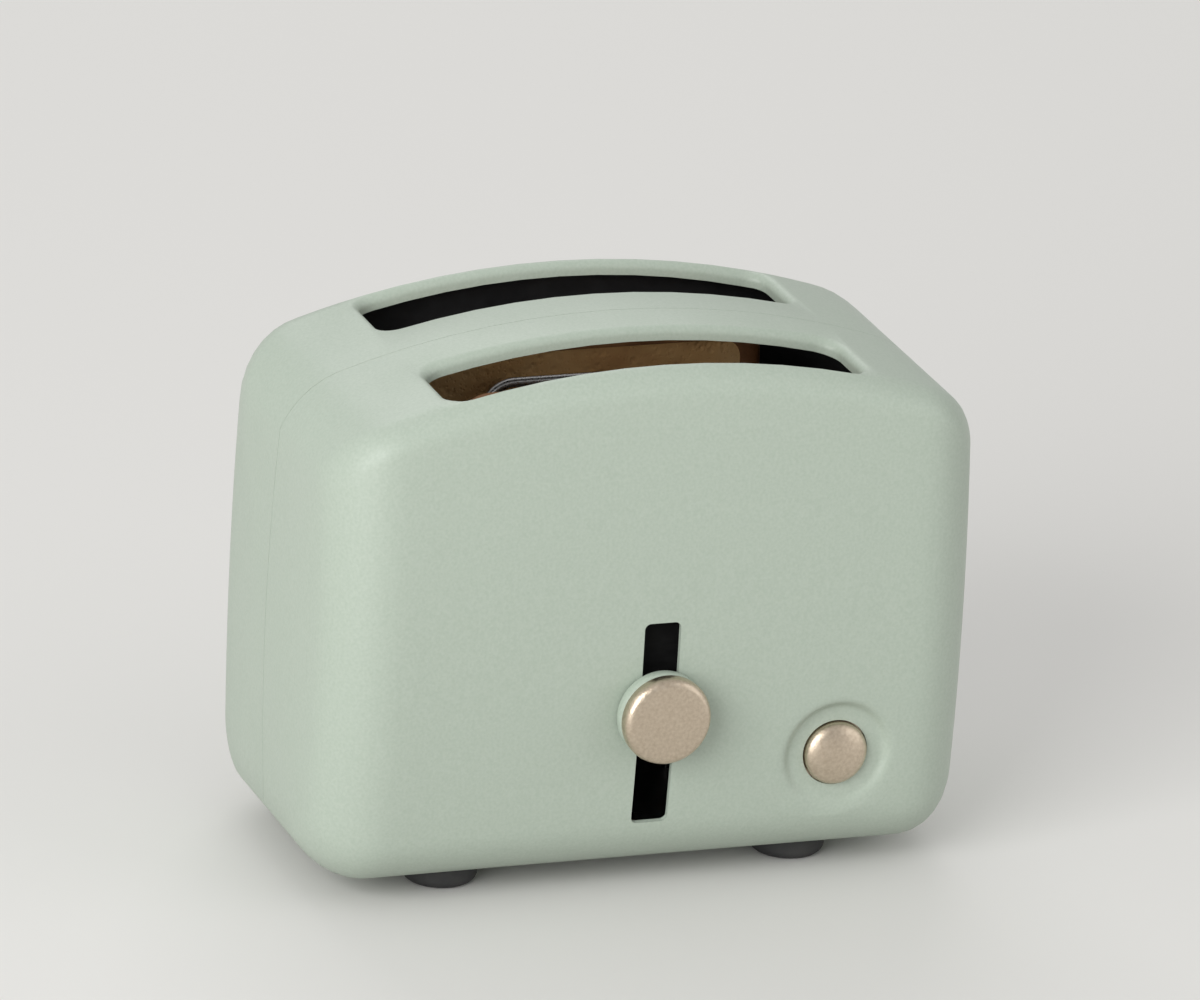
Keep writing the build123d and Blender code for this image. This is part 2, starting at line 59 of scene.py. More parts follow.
# ---- the housing's form, from the frame ----
shell_low, shell_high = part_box("front_shell")
SEAM_Y = shell_high.y
FRONT_Y = shell_low.y
Z_BOTTOM = shell_low.z
Z_CROWN = shell_high.z
HALF_WIDTH = shell_high.x
HALF_DEPTH = SEAM_Y - FRONT_Y
MIDDLE_Z = (Z_BOTTOM + Z_CROWN) / 2
WALL = 0.5 * MM
ARCH_RISE = 6.1 * MM  # crown above the ends of the arch
SIDE_SWELL = 0.9 * MM  # the arch ends this far in from the widest place
FACE_SWELL = 1.5 * MM
SHOULDER_RADIUS = 9.0 * MM
BOTTOM_CORNER_RADIUS = 6.0 * MM
TOP_EDGE_RADIUS = 2.9 * MM
BOTTOM_EDGE_RADIUS = 5.6 * MM
SIDE_EDGE_RADIUS = 6.4 * MM
SIDE_TURN = radians(84)  # the side's rounding stops short of square, because the sides swell
FACE_ROWS = 14
EDGE_STEPS = 8
SIDE_RINGS = 6
INNERMOST_RING = 0.08  # size of the last ring on a side, as a share of the first
STATION_SHARES = (0.15, 0.30, 0.45, 0.60, 0.73, 0.83, 0.90)  # sections between middle and rounding


# ---- modelling helpers ----
def deselect():
    """Leaves nothing selected."""
    bpy.ops.object.select_all(action="DESELECT")


def pick(kind, wanted):
    """In edit mode, selects only the vertices, edges or faces that are wanted, by their middle."""
    bpy.ops.mesh.select_mode(type=kind)
    bpy.ops.mesh.select_all(action="DESELECT")
    mesh = bpy.context.object.data
    cage = bmesh.from_edit_mesh(mesh)
    elements = {"VERT": cage.verts, "EDGE": cage.edges, "FACE": cage.faces}[kind]
    for element in elements:
        if kind == "VERT":
            middle = element.co
        else:
            middle = sum((v.co for v in element.verts), Vector()) / len(element.verts)
        element.select_set(bool(wanted(middle, element)))
    cage.select_flush_mode()
    bmesh.update_edit_mesh(mesh)


def grow(step):
    """Extrudes what is selected by one step."""
    bpy.ops.mesh.extrude_region_move(TRANSFORM_OT_translate={"value": step})


def edit(piece):
    """Opens one piece in edit mode."""
    deselect()
    piece.select_set(True)
    bpy.context.view_layer.objects.active = piece
    bpy.ops.object.mode_set(mode="EDIT")


def leave():
    """Goes back to object mode."""
    bpy.ops.object.mode_set(mode="OBJECT")


def settle(piece):
    """Puts the piece's place in its mesh, with its object at the origin."""
    deselect()
    piece.select_set(True)
    bpy.context.view_layer.objects.active = piece
    bpy.ops.object.transform_apply(location=True, rotation=True, scale=True)


def modify(piece, kind, **settings):
    """Adds a modifier, sets it and applies it."""
    bpy.context.view_layer.objects.active = piece
    added = piece.modifiers.new(kind.lower(), kind)
    for name, value in settings.items():
        setattr(added, name, value)
    bpy.ops.object.modifier_apply(modifier=added.name)


# ---- camera ----
VIEW_AZIMUTH = radians(-20.6)
VIEW_ELEVATION = radians(20.0)
CAMERA_ROLL = radians(3.15)
VIEW_DISTANCE = 1.0
VIEW_WIDTH = 109.1 * MM  # how much of the object's plane the frame shows
SENSOR_WIDTH = 36.0
LEVER_PLACE = Vector((0, FRONT_Y + 0.2 * MM, 17.5 * MM))
LEVER_RIGHT_OF_CENTRE = 5.2 * MM  # where the lever stands in the frame
LEVER_BELOW_CENTRE = 20.1 * MM


def make_camera():
    """A camera left of and above the front, turned a little about its own axis."""
    lens_data = bpy.data.cameras.new("camera")
    camera = bpy.data.objects.new("camera", lens_data)
    bpy.context.scene.collection.objects.link(camera)
    level = cos(VIEW_ELEVATION)
    back = Vector((sin(VIEW_AZIMUTH) * level, -cos(VIEW_AZIMUTH) * level, sin(VIEW_ELEVATION)))
    turn = back.to_track_quat("Z", "Y").to_matrix() @ Matrix.Rotation(CAMERA_ROLL, 3, "Z")
    right, up = turn.col[0], turn.col[1]
    target = LEVER_PLACE - right * LEVER_RIGHT_OF_CENTRE + up * LEVER_BELOW_CENTRE
    camera.matrix_world = Matrix.Translation(target + back * VIEW_DISTANCE) @ turn.to_4x4()
    lens_data.sensor_width = SENSOR_WIDTH
    lens_data.lens = SENSOR_WIDTH * VIEW_DISTANCE / VIEW_WIDTH
    lens_data.clip_start = 0.01
    lens_data.clip_end = 100.0
    bpy.context.scene.camera = camera


# ---- light and floor ----
LAMPS = (  # name, place in m, size in m, power in W
    ("key_light", (-0.56, -0.44, 0.32), 0.50, 4.2),
    ("fill_light", (0.60, -0.40, 0.25), 0.60, 0.9),
    ("rear_light", (0.10, 0.60, 0.55), 0.50, 1.15),
)
ROOM_COLOUR = (0.86, 0.86, 0.85)
ROOM_STRENGTH = 0.62
FLOOR_RADIUS = 2.5
FLOOR_CORNERS = 96
FLOOR_ROUGHNESS = 0.75
FLOOR_LIT = (0.56, 0.55, 0.53)  # the floor as it lights the object
FLOOR_SEEN = (0.80, 0.79, 0.77)  # the floor as the camera, metal and glass see it


def area_light(name, place, target, size, power):
    """A square lamp that faces the target."""
    data = bpy.data.lights.new(name, "AREA")
    data.shape = "SQUARE"
    data.size = size
    data.energy = power
    lamp = bpy.data.objects.new(name, data)
    bpy.context.scene.collection.objects.link(lamp)
    lamp.location = place
    lamp.rotation_mode = "QUATERNION"
    lamp.rotation_quaternion = (Vector(place) - Vector(target)).to_track_quat("Z", "Y")


def make_light():
    """Soft lamps round the toaster, in a pale room."""
    for name, place, size, power in LAMPS:
        area_light(name, place, (0, SEAM_Y, MIDDLE_Z), size, power)
    world = bpy.data.worlds.new("pale_room")
    world.use_nodes = True
    background = world.node_tree.nodes["Background"]
    background.inputs["Color"].default_value = (*ROOM_COLOUR, 1)
    background.inputs["Strength"].default_value = ROOM_STRENGTH
    bpy.context.scene.world = world
    bpy.context.scene.view_settings.view_transform = "Standard"


def make_floor():
    """A plain pale floor."""
    bpy.ops.mesh.primitive_circle_add(vertices=FLOOR_CORNERS, radius=FLOOR_RADIUS, fill_type="NGON")
    floor = bpy.context.object
    floor.name = "floor"
    material = bpy.data.materials.new("pale_floor")
    material.use_nodes = True
    tree = material.node_tree
    shader = tree.nodes["Principled BSDF"]
    shader.inputs["Roughness"].default_value = FLOOR_ROUGHNESS
    rays = tree.nodes.new("ShaderNodeLightPath").outputs
    seen = rays["Is Camera Ray"]
    for kind in ("Is Glossy Ray", "Is Transmission Ray"):
        either = tree.nodes.new("ShaderNodeMath")
        either.operation = "MAXIMUM"
        tree.links.new(seen, either.inputs[0])
        tree.links.new(rays[kind], either.inputs[1])
        seen = either.outputs["Value"]
    tint(tree, shader, seen, (0.0, FLOOR_LIT), (1.0, FLOOR_SEEN))
    floor.data.materials.append(material)


# ---- housing ----
ARCH_RADIUS = ((HALF_WIDTH - SIDE_SWELL) ** 2 + ARCH_RISE**2) / (2 * ARCH_RISE)
FACE_RADIUS = ((Z_CROWN - Z_BOTTOM) ** 2 / 4 + FACE_SWELL**2) / (2 * FACE_SWELL)
ARCH_CENTRE_Z = Z_CROWN - ARCH_RADIUS
SIDE_START = HALF_WIDTH - SIDE_EDGE_RADIUS  # X where the side's rounding starts


def top_z(x):
    """Height of the housing's outline at an X: the arch, then the shoulder."""
    shoulder_x = HALF_WIDTH - SHOULDER_RADIUS
    reach = ARCH_RADIUS - SHOULDER_RADIUS
    if x < ARCH_RADIUS * shoulder_x / reach:
        return ARCH_CENTRE_Z + sqrt(ARCH_RADIUS**2 - x**2)
    shoulder_z = ARCH_CENTRE_Z + sqrt(reach**2 - shoulder_x**2)
    return shoulder_z + sqrt(SHOULDER_RADIUS**2 - (x - shoulder_x) ** 2)


def bottom_z(x):
    """Height of the housing's underside at an X."""
    past = max(0, x - HALF_WIDTH + BOTTOM_CORNER_RADIUS)
    return Z_BOTTOM + BOTTOM_CORNER_RADIUS - sqrt(BOTTOM_CORNER_RADIUS**2 - past**2)


def side_profile():
    """The housing's section at X = 0, as a face: rounded more at the bottom, with swelled faces."""
    bpy.ops.mesh.primitive_plane_add(size=1, location=(0, SEAM_Y, MIDDLE_Z), rotation=(0, pi / 2, 0))
    profile = bpy.context.object
    profile.scale = (Z_CROWN - Z_BOTTOM, 2 * HALF_DEPTH, 1)
    settle(profile)
    edit(profile)
    for above, radius in ((True, TOP_EDGE_RADIUS), (False, BOTTOM_EDGE_RADIUS)):
        pick("VERT", lambda at, v: (at.z > MIDDLE_Z) == above)
        bpy.ops.mesh.bevel(offset=radius, segments=EDGE_STEPS, affect="VERTICES")
    height = Z_CROWN - Z_BOTTOM - TOP_EDGE_RADIUS - BOTTOM_EDGE_RADIUS
    for row in range(1, FACE_ROWS):
        z = Z_BOTTOM + BOTTOM_EDGE_RADIUS + height * row / FACE_ROWS
        bpy.ops.mesh.select_all(action="SELECT")
        bpy.ops.mesh.bisect(plane_co=(0, 0, z), plane_no=(0, 0, 1))
    leave()
    for vertex in profile.data.vertices:
        side = 1 if vertex.co.y > SEAM_Y else -1
        drop = FACE_RADIUS - sqrt(FACE_RADIUS**2 - (vertex.co.z - MIDDLE_Z) ** 2)
        vertex.co.y -= side * drop
    return profile


def stations():
    """X of each section from the middle out, with how far the faces are drawn in there."""
    flat = [(SIDE_START * share, 0.0) for share in STATION_SHARES]
    turns = [SIDE_TURN * step / EDGE_STEPS for step in range(EDGE_STEPS + 1)]
    rounded = [
        (SIDE_START - crown_of_side() + SIDE_EDGE_RADIUS * sin(turn), SIDE_EDGE_RADIUS * (1 - cos(turn)))
        for turn in turns
    ]
    return flat + rounded


def crown_of_side():
    """How far the middle of a side stands proud of its rounding's end."""
    return (HALF_DEPTH - SIDE_EDGE_RADIUS) / tan(SIDE_TURN) / 2


def housing_form():
    """The housing as one closed form: the section drawn out to each side, then the swelled sides."""
    form = side_profile()
    edit(form)
    bpy.ops.mesh.select_all(action="SELECT")
    x, half_depth, low, high = 0.0, HALF_DEPTH, Z_BOTTOM, Z_CROWN
    for next_x, drawn_in in stations():
        grow((next_x - x, 0, 0))
        next_low, next_high = bottom_z(next_x), top_z(next_x)
        bpy.ops.transform.resize(
            value=(1, (HALF_DEPTH - drawn_in) / half_depth, (next_high - next_low) / (high - low)),
            center_override=(next_x, SEAM_Y, low),
        )
        bpy.ops.transform.translate(value=(0, 0, next_low - low))
        x, half_depth, low, high = next_x, HALF_DEPTH - drawn_in, next_low, next_high
    bpy.ops.mesh.dissolve_faces()
    rise = crown_of_side()
    for count in range(SIDE_RINGS):
        left = 1 - count / SIDE_RINGS
        next_left = max(1 - (count + 1) / SIDE_RINGS, INNERMOST_RING)
        grow((rise * (left**2 - next_left**2), 0, 0))
        bpy.ops.transform.resize(
            value=(1, next_left / left, next_left / left), center_override=(x, SEAM_Y, (low + high) / 2)
        )
    pick("FACE", lambda at, f: at.x < NEAR)
    bpy.ops.mesh.delete(type="FACE")
    leave()
    form.name = "housing_form"
    modify(form, "MIRROR", use_mirror_merge=True)
    return form


# ---- openings ----
BREAD_SLOT_FROM_SIDE = 12.0 * MM
BREAD_SLOT_LENGTH = 2 * (HALF_WIDTH - BREAD_SLOT_FROM_SIDE)
BREAD_SLOT_WIDTH = 8.8 * MM
BREAD_SLOT_PITCH = 19.2 * MM
BREAD_SLOT_CORNER = 1.6 * MM
RIM_RADIUS = 0.75 * MM  # rolled rim of a bread slot
RIM_STEPS = 6
LIP_DEPTH = 1.3 * MM  # lower edge of the turned-in rims, below the top
LEVER_SLOT = (3.5 * MM, 19.8 * MM)
LEVER_SLOT_CORNER = 0.6 * MM
LEVER_SLOT_Z = 17.2 * MM
cup_low, cup_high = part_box("button_cup")
BUTTON_AT = (cup_low + cup_high) / 2
DISH_FLOOR_Y = cup_low.y - WALL
DISH_RINGS = (  # radius in mm, and the share of the way from the face to the floor
    (5.62, 0.02),
    (5.38, 0.08),
    (5.18, 0.20),
    (5.02, 0.38),
    (4.86, 0.60),
    (4.70, 0.80),
    (4.54, 0.93),
    (4.34, 1.0),
    (3.15, 1.0),
)
DISH_RADIUS = 6.05 * MM
DISH_CORNERS = 72
BASE_OPENING = (24.0 * MM, 15.0 * MM)
BASE_OPENING_CORNER = 2.0 * MM
FEET = ("foot_front_left", "foot_front_right", "foot_rear_left", "foot_rear_right")
RODS = ("left_guide_rod", "right_guide_rod")
SCREW_HOLE_RADIUS = 0.83 * MM
RIVET_HOLE_RADIUS = 1.30 * MM
HOLE_CORNERS = 24
SEAM_GAP = 0.06 * MM
CUT_DEPTH = {"crown": 12 * MM, "face": 8 * MM, "base": 4 * MM}  # of the tools that cut the openings
CORNER_STEPS = 8
WELD = 0.004 * MM  # corners nearer to each other than this become one
SHELL_SMOOTH = radians(38)  # edges sharper than this stay sharp


def middle_of(node):
    """The middle of a node's box."""
    low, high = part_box(node)
    return (low + high) / 2


def cut_slot(form, middle, size, axis, corner):
    """Cuts a rounded slot through the form along an axis and clears the pocket that it leaves."""
    bpy.ops.mesh.primitive_cube_add(size=1, location=middle)
    cutter = bpy.context.object
    cutter.scale = size
    settle(cutter)
    edit(cutter)
    pick("EDGE", lambda at, e: abs((e.verts[0].co - e.verts[1].co).normalized()[axis]) > ALONG)
    bpy.ops.mesh.bevel(offset=corner, segments=CORNER_STEPS)
    leave()
    clear_pocket(form, cutter)


def cut_hole(form, middle, radius, depth, axis, corners):
    """Cuts a round hole through the form along an axis and clears the pocket that it leaves."""
    turn = (pi / 2, 0, 0) if axis == 1 else (0, 0, 0)
    bpy.ops.mesh.primitive_cylinder_add(
        vertices=corners, radius=radius, depth=depth, location=middle, rotation=turn
    )
    cutter = bpy.context.object
    settle(cutter)
    clear_pocket(form, cutter)


def clear_pocket(form, cutter):
    """Cuts the tool's shape out and takes away the walls that it leaves inside."""
    cutter.data.materials.append(bpy.data.materials["cut"])
    modify(form, "BOOLEAN", object=cutter, operation="DIFFERENCE", solver="EXACT", material_mode="TRANSFER")
    bpy.data.objects.remove(cutter)
    edit(form)
    cut_index = form.data.materials.find("cut")
    pick("FACE", lambda at, f: f.material_index == cut_index)
    bpy.ops.mesh.delete(type="FACE")
    bpy.ops.mesh.select_all(action="SELECT")
    bpy.ops.mesh.remove_doubles(threshold=WELD)
    leave()


def roll_slot_rim(form, y):
    """Rolls the rim of a bread slot inwards and turns its lip down."""
    edit(form)
    pick("EDGE", lambda at, e: e.is_boundary and abs(at.y - y) < BREAD_SLOT_WIDTH and at.z > MIDDLE_Z)
    long, wide = BREAD_SLOT_LENGTH / 2 + RIM_RADIUS, BREAD_SLOT_WIDTH / 2 + RIM_RADIUS
    inward, down = 0.0, 0.0
    for step in range(1, RIM_STEPS + 1):
        turn = pi / 2 * step / RIM_STEPS
        next_inward, next_down = RIM_RADIUS * sin(turn), RIM_RADIUS * (1 - cos(turn))
        grow((0, 0, down - next_down))
        bpy.ops.transform.resize(
            value=((long - next_inward) / (long - inward), (wide - next_inward) / (wide - inward), 1),
            center_override=(0, y, 0),
        )
        inward, down = next_inward, next_down
    grow((0, 0, RIM_RADIUS - LIP_DEPTH))
    leave()


def press_dish(form):
    """Presses the round dish that the button stands in."""
    edit(form)
    near = DISH_RADIUS + MM
    pick(
        "EDGE",
        lambda at, e: e.is_boundary and at.y < SEAM_Y and (at.xz - BUTTON_AT.xz).length < near,
    )
    radius, gone = DISH_RADIUS / MM, 0.0
    for next_radius, next_gone in DISH_RINGS:
        grow((0, 0, 0))
        left = (1 - next_gone) / (1 - gone) if gone < 1 else 1
        bpy.ops.transform.resize(
            value=(next_radius / radius, left, next_radius / radius),
            center_override=(BUTTON_AT.x, DISH_FLOOR_Y, BUTTON_AT.z),
        )
        radius, gone = next_radius, next_gone
    leave()


def half_shell(form, name, side):
    """One half of the housing, cut from the whole form at the seam and given its wall."""
    deselect()
    form.select_set(True)
    bpy.context.view_layer.objects.active = form
    bpy.ops.object.duplicate()
    shell = bpy.context.object
    shell.name = name
    edit(shell)
    bpy.ops.mesh.select_all(action="SELECT")
    bpy.ops.mesh.bisect(
        plane_co=(0, SEAM_Y + side * SEAM_GAP / 2, 0), plane_no=(0, side, 0), clear_inner=True
    )
    leave()
    # the inner faces take the second material, near black as painted shade
    modify(shell, "SOLIDIFY", thickness=WALL, offset=-1, use_even_offset=True, material_offset=1)
    bpy.ops.object.shade_smooth_by_angle(angle=SHELL_SMOOTH)
    return shell


def make_housing():
    """The two shells with all their openings, painted mint outside and near black inside as painted shade.
    """
    form = housing_form()
    form.data.materials.append(bpy.data.materials["mint_paint_coat"])
    # the inside's material: near black, painted shade
    form.data.materials.append(bpy.data.materials["painted_shade_inside"])
    form.data.materials.append(bpy.data.materials.new("cut"))
    over = 2 * RIM_RADIUS
    for side in (-1, 1):
        y = SEAM_Y + side * BREAD_SLOT_PITCH / 2
        size = (BREAD_SLOT_LENGTH + over, BREAD_SLOT_WIDTH + over, CUT_DEPTH["crown"])
        cut_slot(form, (0, y, Z_CROWN), size, 2, BREAD_SLOT_CORNER + RIM_RADIUS)
        roll_slot_rim(form, y)
    size = (LEVER_SLOT[0], CUT_DEPTH["face"], LEVER_SLOT[1])
    cut_slot(form, (0, FRONT_Y, LEVER_SLOT_Z), size, 1, LEVER_SLOT_CORNER)
    place = (BUTTON_AT.x, FRONT_Y, BUTTON_AT.z)
    cut_hole(form, place, DISH_RADIUS, CUT_DEPTH["face"], 1, DISH_CORNERS)
    press_dish(form)
    size = (*BASE_OPENING, CUT_DEPTH["base"])
    cut_slot(form, (0, SEAM_Y, Z_BOTTOM), size, 2, BASE_OPENING_CORNER)
    for held, radius in ((FEET, SCREW_HOLE_RADIUS), (RODS, RIVET_HOLE_RADIUS)):
        for node in held:
            place = (*middle_of(node).xy, Z_BOTTOM)
            cut_hole(form, place, radius, CUT_DEPTH["base"], 2, HOLE_CORNERS)
    form.data.materials.pop(index=form.data.materials.find("cut"))
    for side, name in ((-1, "front_shell"), (1, "rear_shell")):
        shell = half_shell(form, name + "_tin", side)
        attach(shell, "housing")
        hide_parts(name)
    bpy.data.objects.remove(form)


# ---- lever knob, collar and stop button ----
ROUND = 96  # corners of a turned piece
TURNED_WELD = 0.002 * MM
TURNED_SMOOTH = radians(30)
# profiles of the turned pieces, in mm
SHANK_BORE = 1.28  # radius of the bore in the knob and the collar
KNOB_BORE_DEPTH = 0.9
KNOB_RIM = 0.85  # rounding of the front rim
KNOB_RIM_TURN = 82  # degrees that the rim turns before the face begins
KNOB_RIM_STEPS = 9
KNOB_CROWN = 0.10
KNOB_BACK_RIM = 0.12
KNOB_FACE_RINGS = (0.85, 0.68, 0.5, 0.3, 0.1)
COLLAR_RIM = 0.80
COLLAR_RIM_STEPS = 6
COLLAR_BACK_RIM = 0.25
BACK_RIM_STEPS = 3
BUTTON_RADIUS = 3.0
BUTTON_SKIRT = 0.22  # straight side above the dish's floor
BUTTON_DOME_TURN = 86  # degrees
BUTTON_DOME_STEPS = 11
STEM_RADIUS = 0.8
STEM_CHAMFER = 0.15
FLANGE_THICKNESS = 0.5
FLANGE_GAP = 0.05  # between the flange and the back of the front shell


def rounding(radius, out, size, start, end, steps):
    """Points (radius, out) on a rounding about its centre, from one angle to another in degrees."""
    turns = [radians(start + (end - start) * step / steps) for step in range(steps + 1)]
    return [(radius + size * cos(turn), out + size * sin(turn)) for turn in turns]


def turn_piece(name, centre, profile, closed=False):
    """A piece turned on an axis that points out of the front, from (radius, distance out) in mm."""
    radius, out = profile[0]
    bpy.ops.mesh.primitive_circle_add(
        vertices=ROUND,
        radius=radius * MM,
        fill_type="NOTHING" if closed else "NGON",
        location=(centre.x, centre.y - out * MM, centre.z),
        rotation=(pi / 2, 0, 0),
    )
    piece = bpy.context.object
    settle(piece)
    edit(piece)
    bpy.ops.mesh.select_mode(type="VERT")
    bpy.ops.mesh.select_all(action="SELECT")
    for next_radius, next_out in profile[1:]:
        grow((0, (out - next_out) * MM, 0))
        ratio = next_radius / radius
        bpy.ops.transform.resize(
            value=(ratio, 1, ratio), center_override=(centre.x, centre.y - next_out * MM, centre.z)
        )
        radius, out = next_radius, next_out
    bpy.ops.mesh.select_all(action="SELECT")
    bpy.ops.mesh.remove_doubles(threshold=TURNED_WELD)
    bpy.ops.mesh.normals_make_consistent(inside=False)
    leave()
    piece.name = name
    bpy.ops.object.shade_smooth_by_angle(angle=TURNED_SMOOTH)
    return piece


def back_middle(node):
    """The middle of a node's rear end, from which a turned piece is measured."""
    low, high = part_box(node)
    return Vector(((low.x + high.x) / 2, high.y, (low.z + high.z) / 2))


def radius_and_length(node):
    """Radius and length in mm of a node that is round about an axis along Y."""
    low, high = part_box(node)
    return (high.x - low.x) / 2 / MM, (high.y - low.y) / MM


def make_knob():
    """The lever's knob: a disc with a round rim, a slight crown and a blind bore for the shank."""
    radius, thickness = radius_and_length("lever_knob")
    profile = [(SHANK_BORE, KNOB_BORE_DEPTH), (SHANK_BORE, 0)]
    profile += rounding(radius - KNOB_BACK_RIM, KNOB_BACK_RIM, KNOB_BACK_RIM, -90, 0, BACK_RIM_STEPS)
    rim_out = thickness - KNOB_CROWN - KNOB_RIM
    profile += rounding(radius - KNOB_RIM, rim_out, KNOB_RIM, 0, KNOB_RIM_TURN, KNOB_RIM_STEPS)
    top, top_out = profile[-1]
    for share in KNOB_FACE_RINGS:
        profile.append((top * share, top_out + (thickness - top_out) * (1 - share**2)))
    knob = turn_piece("knob", back_middle("lever_knob"), profile)
    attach(knob, "carriage")
    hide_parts("lever_knob")
    knob.data.materials.append(bpy.data.materials["blasted_brass"])


def make_collar():
    """The painted washer behind the knob, which slides over the slot."""
    radius, thickness = radius_and_length("collar_washer")
    profile = [(SHANK_BORE, 0)]
    back, front = COLLAR_BACK_RIM, COLLAR_RIM
    profile += rounding(radius - back, back, back, -90, 0, BACK_RIM_STEPS)
    profile += rounding(radius - front, thickness - front, front, 0, 90, COLLAR_RIM_STEPS)
    profile += [(SHANK_BORE, thickness), (SHANK_BORE, 0)]
    collar = turn_piece("collar", back_middle("collar_washer"), profile, closed=True)
    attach(collar, "carriage")
    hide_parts("collar_washer")
    collar.data.materials.append(bpy.data.materials["mint_paint_coat"])


def make_button():
    """The stop button: a low dome, with the flange and the stem that its cup guides."""
    flange, length = radius_and_length("stop_button")
    rear = back_middle("stop_button")
    floor_out = (rear.y - DISH_FLOOR_Y) / MM
    flange_out = floor_out - WALL / MM - FLANGE_GAP
    flange_back = flange_out - FLANGE_THICKNESS
    skirt = floor_out + BUTTON_SKIRT  # where the straight side turns into the dome
    profile = [(STEM_RADIUS - STEM_CHAMFER, 0), (STEM_RADIUS, STEM_CHAMFER), (STEM_RADIUS, flange_back)]
    profile += [(flange, flange_back), (flange, flange_out), (BUTTON_RADIUS, flange_out)]
    for step in range(BUTTON_DOME_STEPS + 1):
        turn = radians(BUTTON_DOME_TURN * step / BUTTON_DOME_STEPS)
        profile.append((BUTTON_RADIUS * cos(turn), skirt + (length - skirt) * sin(turn)))
    button = turn_piece("button", rear, profile)
    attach(button, "button")
    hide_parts("stop_button")
    button.data.materials.append(bpy.data.materials["blasted_brass"])


# ---- button spring ----
SPRING_WIRE_RADIUS = 0.15 * MM
SPRING_TURNS = 3
WIRE_CORNERS = 12
COIL_STEPS = 40  # to a turn
SPRING_SMOOTH = radians(50)


def make_button_spring():
    """The coil behind the button, closed at both ends."""
    low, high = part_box("button_spring")
    length = high.y - low.y
    bpy.ops.mesh.primitive_circle_add(
        vertices=WIRE_CORNERS,
        radius=SPRING_WIRE_RADIUS,
        location=((high.x - low.x) / 2 - SPRING_WIRE_RADIUS, 0, 0),
        rotation=(pi / 2, 0, 0),
    )
    spring = bpy.context.object
    settle(spring)
    pitch = (length - 2 * SPRING_WIRE_RADIUS) / SPRING_TURNS
    steps = {"steps": COIL_STEPS, "render_steps": COIL_STEPS}
    modify(spring, "SCREW", iterations=SPRING_TURNS, screw_offset=pitch, **steps)
    spring.location = ((low.x + high.x) / 2, high.y - SPRING_WIRE_RADIUS, (low.z + high.z) / 2)
    spring.rotation_euler = (pi / 2, 0, 0)
    settle(spring)
    edit(spring)
    bpy.ops.mesh.select_mode(type="VERT")
    bpy.ops.mesh.select_all(action="SELECT")
    bpy.ops.mesh.fill_holes(sides=0)
    bpy.ops.mesh.normals_make_consistent(inside=False)
    leave()
    bpy.ops.object.shade_smooth_by_angle(angle=SPRING_SMOOTH)
    spring.name = "button_return_coil"
    spring.data.materials.append(bpy.data.materials["drawn_wire"])
    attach(spring, "housing")
    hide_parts("button_spring")
    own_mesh(spring)


# ---- toast ----
CROWN_RADIUS = 4.0 * MM  # upper corners of a slice
CROWN_STEPS = 8
HEEL_RADIUS = 2.5 * MM  # lower corners
HEEL_STEPS = 5
WAIST = 0.917  # width under the domed top, as a share of the top's
WAIST_TOP = 0.61  # height at which the slice has widened to its top, as a share of its height
WAIST_RISE = 0.12  # height over which it widens
WAIST_ROWS = (0.30, 0.42, 0.49, 0.52, 0.55, 0.58, 0.61)
CRUST_ROUNDING = 0.9 * MM
CRUST_STEPS = 5
CRUST_WIDTH = 1.1 * MM
CRUMB_SUNK = 0.12 * MM
CRUMB_BEVEL = 0.2 * MM  # width of the step from the crust down to the crumb
CRUMB_STEP = 0.7 * MM  # spacing of the crumb's grid
CRUMB_ROUGHNESS = 0.22 * MM  # from the hollows to the high points of the crumb
COARSE_CRUMB = 450  # hollows to a metre
FINE_CRUMB = 1100
FINE_SHARE = 0.6
BROAD_AREA = 200 * MM * MM  # smaller than either large face of a slice
TOAST_SMOOTH = radians(50)


def lies_across(_, edge):
    """True for an edge that runs from one face of the slice to the other."""
    return abs((edge.verts[0].co - edge.verts[1].co).normalized().y) > ALONG


def broad(_, face):
    """True for the one large face on each side of the slice."""
    return abs(face.normal.y) > ALONG and face.calc_area() > BROAD_AREA


